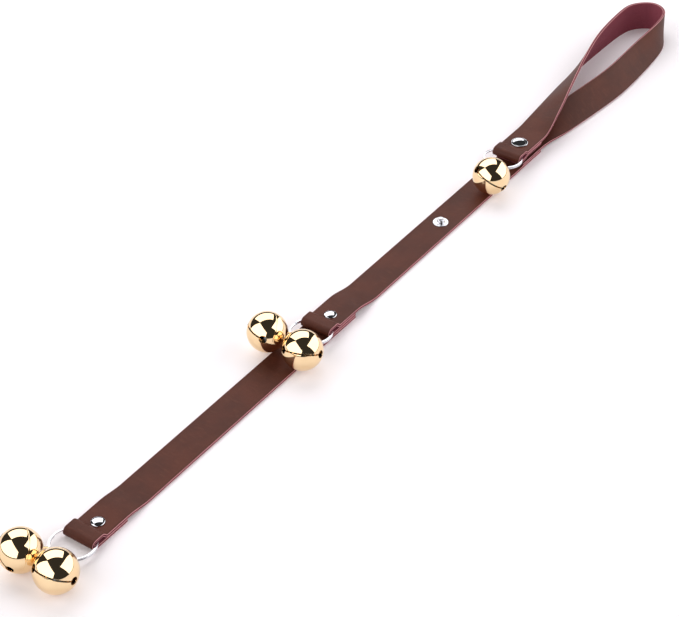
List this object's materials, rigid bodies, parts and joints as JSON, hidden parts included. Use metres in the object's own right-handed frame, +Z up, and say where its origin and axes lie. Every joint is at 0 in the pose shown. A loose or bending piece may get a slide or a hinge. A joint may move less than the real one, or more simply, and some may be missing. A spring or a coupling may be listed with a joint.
{
  "type": "strap of sleigh bells",
  "caption": "Leather strap of jingle bells that hangs from a door handle by a loop, with split rings, rivets and snap studs.",
  "frame": {"origin": "middle of the object's box at the surface it lies on", "axes": "+X up the strap towards the handle loop, +Y to the far side of the strap, +Z up"},
  "size_m": [0.7953, 0.0585, 0.0303],
  "materials": {
    "leather": "smooth chocolate brown leather, slightly waxy, burgundy suede behind",
    "nickel": "polished nickel plate",
    "gold": "pale gold mirror plate",
    "steel": "plain steel ball"
  },
  "bodies": {
    "upper_strap": {"upper_strap": "leather", "snap_stud": "nickel", "snap_stud_post": "nickel", "spare_stud": "nickel", "spare_stud_post": "nickel"},
    "upper_strap_bottom": {"upper_strap_bottom": "leather", "mid_rivet_cap": "nickel", "mid_rivet_post": "nickel"},
    "lower_strap_top": {"lower_strap_top": "leather"},
    "lower_strap": {"lower_strap": "leather", "lower_rivet_cap": "nickel", "lower_rivet_post": "nickel"},
    "handle_loop": {"handle_loop": "leather"},
    "snap_tab": {"snap_tab": "leather", "snap_cap": "nickel", "snap_socket": "nickel"},
    "top_ring": {"top_ring": "nickel"},
    "mid_ring": {"mid_ring": "nickel"},
    "lower_ring": {"lower_ring": "nickel"},
    "top_bell": {"top_bell_front": "gold", "top_bell_back": "gold", "top_bell_hanger": "gold"},
    "top_bell_clapper": {"top_bell_clapper": "steel"},
    "mid_near_bell": {"mid_near_bell_front": "gold", "mid_near_bell_back": "gold", "mid_near_bell_hanger": "gold"},
    "mid_near_bell_clapper": {"mid_near_bell_clapper": "steel"},
    "mid_far_bell": {"mid_far_bell_front": "gold", "mid_far_bell_back": "gold", "mid_far_bell_hanger": "gold"},
    "mid_far_bell_clapper": {"mid_far_bell_clapper": "steel"},
    "lower_near_bell": {"lower_near_bell_front": "gold", "lower_near_bell_back": "gold", "lower_near_bell_hanger": "gold"},
    "lower_near_bell_clapper": {"lower_near_bell_clapper": "steel"},
    "lower_far_bell": {"lower_far_bell_front": "gold", "lower_far_bell_back": "gold", "lower_far_bell_hanger": "gold"},
    "lower_far_bell_clapper": {"lower_far_bell_clapper": "steel"}
  },
  "joints": [
    {"name": "upper_strap_flex", "type": "hinge", "parent": "upper_strap", "child": "upper_strap_bottom", "pos_m": [-0.0238, 0, 0.002], "axis": [0, 1, 0], "range_deg": [0, 60]},
    {"name": "lower_strap_swivel", "type": "hinge", "parent": "upper_strap_bottom", "child": "lower_strap_top", "pos_m": [-0.0888, 0, 0], "axis": [0, 0, 1], "range_deg": [-15, 15]},
    {"name": "lower_strap_flex", "type": "hinge", "parent": "lower_strap_top", "child": "lower_strap", "pos_m": [-0.1668, 0, 0.002], "axis": [0, 1, 0], "range_deg": [0, 60]},
    {"name": "handle_swivel", "type": "hinge", "parent": "upper_strap", "child": "handle_loop", "pos_m": [0.1627, 0, 0], "axis": [0, 0, 1], "range_deg": [-15, 15]},
    {"name": "snap_tab_lift", "type": "hinge", "parent": "handle_loop", "child": "snap_tab", "pos_m": [0.1787, 0, 0.0117], "axis": [0, 1, 0], "range_deg": [0, 60]},
    {"name": "top_ring_swing", "type": "hinge", "parent": "snap_tab", "child": "top_ring", "pos_m": [0.1523, 0, 0.00974], "axis": [0, 1, 0], "range_deg": [0, 2]},
    {"name": "mid_ring_swing", "type": "hinge", "parent": "upper_strap_bottom", "child": "mid_ring", "pos_m": [-0.0973, 0, 0.0052], "axis": [0, 1, 0], "range_deg": [0, 2]},
    {"name": "lower_ring_swing", "type": "hinge", "parent": "lower_strap", "child": "lower_ring", "pos_m": [-0.3403, 0, 0.0031], "axis": [0, 1, 0], "range_deg": [-3, 2]},
    {"name": "top_bell_swing", "type": "hinge", "parent": "top_ring", "child": "top_bell", "pos_m": [0.124, -0.001, 0.01172], "axis": [0, 1, 0], "range_deg": [0, 60]},
    {"name": "top_bell_clapper_rattle", "type": "slide", "parent": "top_bell", "child": "top_bell_clapper", "axis": [0, 0, 1], "range_m": [0, 0.0175]},
    {"name": "mid_near_bell_swing", "type": "hinge", "parent": "mid_ring", "child": "mid_near_bell", "pos_m": [-0.12506, -0.004, 0.00714], "axis": [0, 1, 0], "range_deg": [0, 60]},
    {"name": "mid_near_bell_clapper_rattle", "type": "slide", "parent": "mid_near_bell", "child": "mid_near_bell_clapper", "axis": [0, 0, 1], "range_m": [0, 0.0175]},
    {"name": "mid_far_bell_swing", "type": "hinge", "parent": "mid_ring", "child": "mid_far_bell", "pos_m": [-0.12506, 0.004, 0.00714], "axis": [0, 1, 0], "range_deg": [0, 60]},
    {"name": "mid_far_bell_clapper_rattle", "type": "slide", "parent": "mid_far_bell", "child": "mid_far_bell_clapper", "axis": [0, 0, 1], "range_m": [0, 0.0175]},
    {"name": "lower_near_bell_swing", "type": "hinge", "parent": "lower_ring", "child": "lower_near_bell", "pos_m": [-0.36806, -0.004, 0.00504], "axis": [0, 1, 0], "range_deg": [-20, 60]},
    {"name": "lower_near_bell_clapper_rattle", "type": "slide", "parent": "lower_near_bell", "child": "lower_near_bell_clapper", "axis": [0, 0, 1], "range_m": [0, 0.0175]},
    {"name": "lower_far_bell_swing", "type": "hinge", "parent": "lower_ring", "child": "lower_far_bell", "pos_m": [-0.36806, 0.004, 0.00504], "axis": [0, 1, 0], "range_deg": [-20, 60]},
    {"name": "lower_far_bell_clapper_rattle", "type": "slide", "parent": "lower_far_bell", "child": "lower_far_bell_clapper", "axis": [0, 0, 1], "range_m": [0, 0.0175]}
  ]
}
